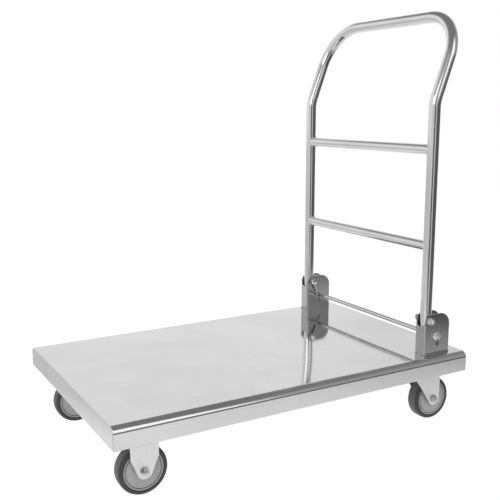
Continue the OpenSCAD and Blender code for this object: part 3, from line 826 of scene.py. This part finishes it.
# a bolt along Y: a chamfered hexagonal head, a plain shank, thread rings and a bevelled tip
def makeBolt(node, name, threaded, outward, finish=None):
    low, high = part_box(node)
    middle, flats = centreOf(node), high.z - low.z
    headY, tipY = (low.y, high.y) if outward > 0 else (high.y, low.y)
    radius = flats / bolt["flats"] / 2
    shoulder = headY + outward * bolt["head"]
    reach = abs(tipY - shoulder)
    hidden = -bolt["head"] / 2  # the shank starts inside the head
    outline = [(0, hidden), (radius, hidden), (radius, reach - threaded)]
    outline += threadRings(radius, reach - threaded, threaded)
    outline += [(radius, reach - bolt["tipLength"]), (radius - bolt["tipDepth"], reach), (0, reach)]
    outline = [(r, outward * w) for r, w in outline]
    shank = turned(outline, Vector((middle.x, shoulder, middle.z)), bolt["around"])
    smooth(shank, 30)
    corner = flats / math.sqrt(3)
    head = addCylinder(6, corner, bolt["head"], (middle.x, (headY + shoulder) / 2, middle.z), lying=True)
    away, wide = outward * bolt["head"], corner + mm
    slope = outward * (wide - flats * bolt["chamferFrom"]) * bolt["chamfer"]
    dome = turned(
        [(0, away), (wide, away), (wide, slope), (flats * bolt["chamferTop"], 0), (0, 0)],
        Vector((middle.x, headY, middle.z)), bolt["headAround"])
    carve(head, dome, "INTERSECT")
    breakCorners(head, bolt["edge"], 2, 30)
    smooth(head, 30)
    settle(joined([shank, head]), name, node, finish)


rod = {"end": 4 * mm, "washer": 1.7 * mm, "ease": 0.4 * mm, "tip": 0.7 * mm, "around": 48}


# the latch rod: a bar stepped down and threaded at both ends
def makeRod():
    low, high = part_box("latch_rod")
    radius, end, ease = (high.z - low.z) / 2, rod["end"], rod["ease"]
    half, step = (high.y - low.y) / 2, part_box("latch_rod_washers")[1].y - rod["washer"]
    one = [(radius, step - ease), (radius - ease, step), (end, step)]
    one += threadRings(end, step, half - step)
    one += [(end - rod["tip"], half), (0, half)]
    obj = turned([(r, -w) for r, w in reversed(one)] + one, centreOf("latch_rod"), rod["around"])
    smooth(obj, 30)
    settle(obj, "latchRod", "latch_rod")


for side, sign in sides.items():
    tail = side.capitalize()
    makeBolt(f"pivot_bolt_{side}", "pivotBolt" + tail, 15 * mm, sign, "brightZinc")
    makeBolt(f"fixed_axle_{side}", "fixedAxle" + tail, 16 * mm, sign)
    makeBolt(f"swivel_axle_{side}", "swivelAxle" + tail, 16 * mm, sign)
makeRod()

coil = {
    "wire": 0.8 * mm, "around": 10, "radius": 4.45 * mm, "turns": 11, "perTurn": 18,
    "from": 10 * mm, "to": 31 * mm,  # where the close coils start and end, from the pivot
    "pivotLoop": 5.1 * mm, "pivotPoints": 28, "rodLoop": 6.1 * mm, "rodPoints": 30, "loopTurn": 325,
    "held": (9 * mm, 1 * mm),  # how much of each end of the spring keeps its shape
}


# a close-wound tension spring from the pivot bolt to the rod, with a hook at each end
def makeSpring(side):
    node = f"latch_spring_{side}"
    middle, bar, sideways = centreOf(node), centreOf("latch_rod"), Vector((0, 1, 0))
    top = Vector((pivot.x, middle.y, pivot.z))
    bottom = Vector((bar.x, middle.y, bar.z))
    along, reach = (bottom - top).normalized(), (bottom - top).length
    across = sideways.cross(along)
    last = reach - coil["rodLoop"]
    points = []

    # a point of a hook, round one of the pins
    def hook(pin, radius, turn):
        points.append(pin + radius * (math.cos(turn) * along + math.sin(turn) * across))

    # a point of the winding, some way down the spring
    def wind(down, radius, turn):
        points.append(top + along * down + radius * (math.cos(turn) * across + math.sin(turn) * sideways))

    for i in range(coil["pivotPoints"]):
        hook(top, coil["pivotLoop"], math.radians(coil["loopTurn"] * (1 - i / (coil["pivotPoints"] - 1))))
    for share in [i / 10 for i in range(1, 10)]:
        turn = share * math.pi / 2
        wind(coil["pivotLoop"] + (coil["from"] - coil["pivotLoop"]) * share,
             coil["radius"] * math.sin(turn), turn)
    count = coil["turns"] * coil["perTurn"]
    for i in range(count + 1):
        wind(coil["from"] + (coil["to"] - coil["from"]) * i / count, coil["radius"],
             math.pi / 2 + 2 * math.pi * i / coil["perTurn"])
    for share in [i / 8 for i in range(1, 8)]:
        wind(coil["to"] + (last - coil["to"]) * share, coil["radius"] * math.cos(share * math.pi / 2),
             math.pi / 2 * (1 + share))
    for i in range(coil["rodPoints"]):
        hook(bottom, coil["rodLoop"], math.radians(180 + coil["loopTurn"] * i / (coil["rodPoints"] - 1)))
    obj = wire(points, coil["wire"], around=coil["around"])
    smooth(obj, 60)
    dress(obj, "latchSpring" + side.capitalize(), node)
    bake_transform(obj)


for side in sides:
    makeSpring(side)
print("fasteners and springs ready")

# bands of the wall are in degrees about Z from +X: from, to and softness
studio = {
    "key": {"place": (-2.4, -1.3, 1.9), "size": (1.4, 1.4), "power": 16, "aim": (0, 0, 0.2)},
    "darkTurns": (-86, 6, 9),  # dark wall to the right of the camera
    "backTurns": (-131, -106, 4),  # dark wall behind the camera
    "panelTurns": (-98, -59, 3),  # bright panel just to its right
}

floor = {
    "size": 9.0, "place": (-3.9, 6.7, 0), "paint": 0.12, "rough": 0.9,
    "glow": (0.96, 0.15), "dull": 0.08,  # bright and dim ends, and how far towards dim it starts
    "fade": (0.22, 1.68), "fadeWay": (0.6, 0.8),  # metres from the middle, to the near rear corner
    "front": (-0.02, 0.09), "frontWay": (0.98, 0.2), "frontFrom": 0.53, "frontDim": 0.36,
    "back": (0.9, 1.3), "backFrom": 0.33, "backDim": 0.8,  # below the dark wall behind the camera
}


# a plain pale floor; only what the steel mirrors of it dims, towards the near rear corner, just past
# the deck's front end and below the dark wall
def addFloor():
    bpy.ops.mesh.primitive_circle_add(
        vertices=96, radius=floor["size"], fill_type="NGON", location=floor["place"])
    obj = bpy.context.object
    applyPlace(obj)
    obj.name = "studioFloor"
    finish = Finish("paleFloor")
    x, y, _ = finish.split(finish.place())
    far = (x * floor["fadeWay"][0] - y * floor["fadeWay"][1]).step(*floor["fade"])
    front = y * floor["frontWay"][1] - x * floor["frontWay"][0] - floor["frontFrom"]
    turn = y.calc("ARCTAN2", y, x - floor["backFrom"]) * (180 / math.pi)
    back = turn.band(*studio["backTurns"]) * (0 - y).step(*floor["back"])
    mirrored = 1 - finish.add("ShaderNodeLightPath", {}, {}, out="Is Camera Ray")
    dim = floor["dull"] + far + front.step(*floor["front"]) * floor["frontDim"] + back * floor["backDim"]
    finish.give({
        "Base Color": grey(floor["paint"]), "Roughness": floor["rough"], "Emission Strength": 1.0,
        "Emission Color": finish.mixColour(dim * mirrored, *(grey(glow) for glow in floor["glow"]))})
    obj.data.materials.append(finish.material)


def addSoftbox(look):
    bpy.ops.object.light_add(type="AREA", location=look["place"])
    light = bpy.context.object
    light.data.shape = "RECTANGLE"
    light.data.size, light.data.size_y = look["size"]
    light.data.energy = look["power"]
    light.rotation_euler = (Vector(look["aim"]) - light.location).to_track_quat("-Z", "Y").to_euler()


# brightness of each part of the room, and the edges between them as heights from 0, level, to 1, overhead
room = {
    "wall": 0.96, "darkWall": 0.12, "ceiling": 0.38, "panel": 1.35,
    "darkFoot": (0.0, 0.12), "footLift": 0.55, "sideTurn": (38, 58), "sideDim": 0.2,
    "ceilingEdge": (0.49, 0.62), "roofFade": (0.5, 0.85), "roofDim": 0.14,
    "panelFoot": (0.17, 0.27), "panelTop": (0.70, 0.86),
}


# the room that the steel mirrors: pale walls, a dim ceiling, two dark stretches of wall and a bright
# panel; the camera itself sees plain white
def addWorld():
    world = bpy.data.worlds.new("studioRoom")
    bpy.context.scene.world = world
    world.use_nodes = True
    world.node_tree.nodes.clear()
    graph = Graph(world.node_tree)
    x, y, z = graph.split(graph.place("Generated"))
    turn = x.calc("ARCTAN2", y, x) * (180 / math.pi)
    dark = turn.band(*studio["darkTurns"]) + turn.band(*studio["backTurns"])
    dark = dark * (1 - room["footLift"] * z.step(*room["darkFoot"]))
    pale = 1 - room["sideDim"] * (1 - turn.step(*room["sideTurn"]))
    wall = pale * room["wall"] - (room["wall"] - room["darkWall"]) * dark
    wall = wall.calc("MAXIMUM", wall, room["darkWall"])
    ceiling = z.step(*room["ceilingEdge"])
    light = wall * (1 - ceiling) + (room["ceiling"] - room["roofDim"] * z.step(*room["roofFade"])) * ceiling
    panel = turn.band(*studio["panelTurns"]) * z.step(*room["panelFoot"]) * (1 - z.step(*room["panelTop"]))
    light = light * (1 - panel) + room["panel"] * panel
    glow = graph.add("ShaderNodeBackground", {}, {"Color": light, "Strength": 1.0})
    white = graph.add("ShaderNodeBackground", {}, {"Color": grey(1.0), "Strength": 1.0})
    seen = graph.add("ShaderNodeLightPath", {}, {}, out="Is Camera Ray")
    both = graph.add("ShaderNodeMixShader", {}, {0: seen, 1: glow, 2: white})
    graph.add("ShaderNodeOutputWorld", {}, {"Surface": both})


addFloor()
addSoftbox(studio["key"])
addWorld()
bpy.context.scene.view_settings.view_transform = "Standard"
print("studio ready")
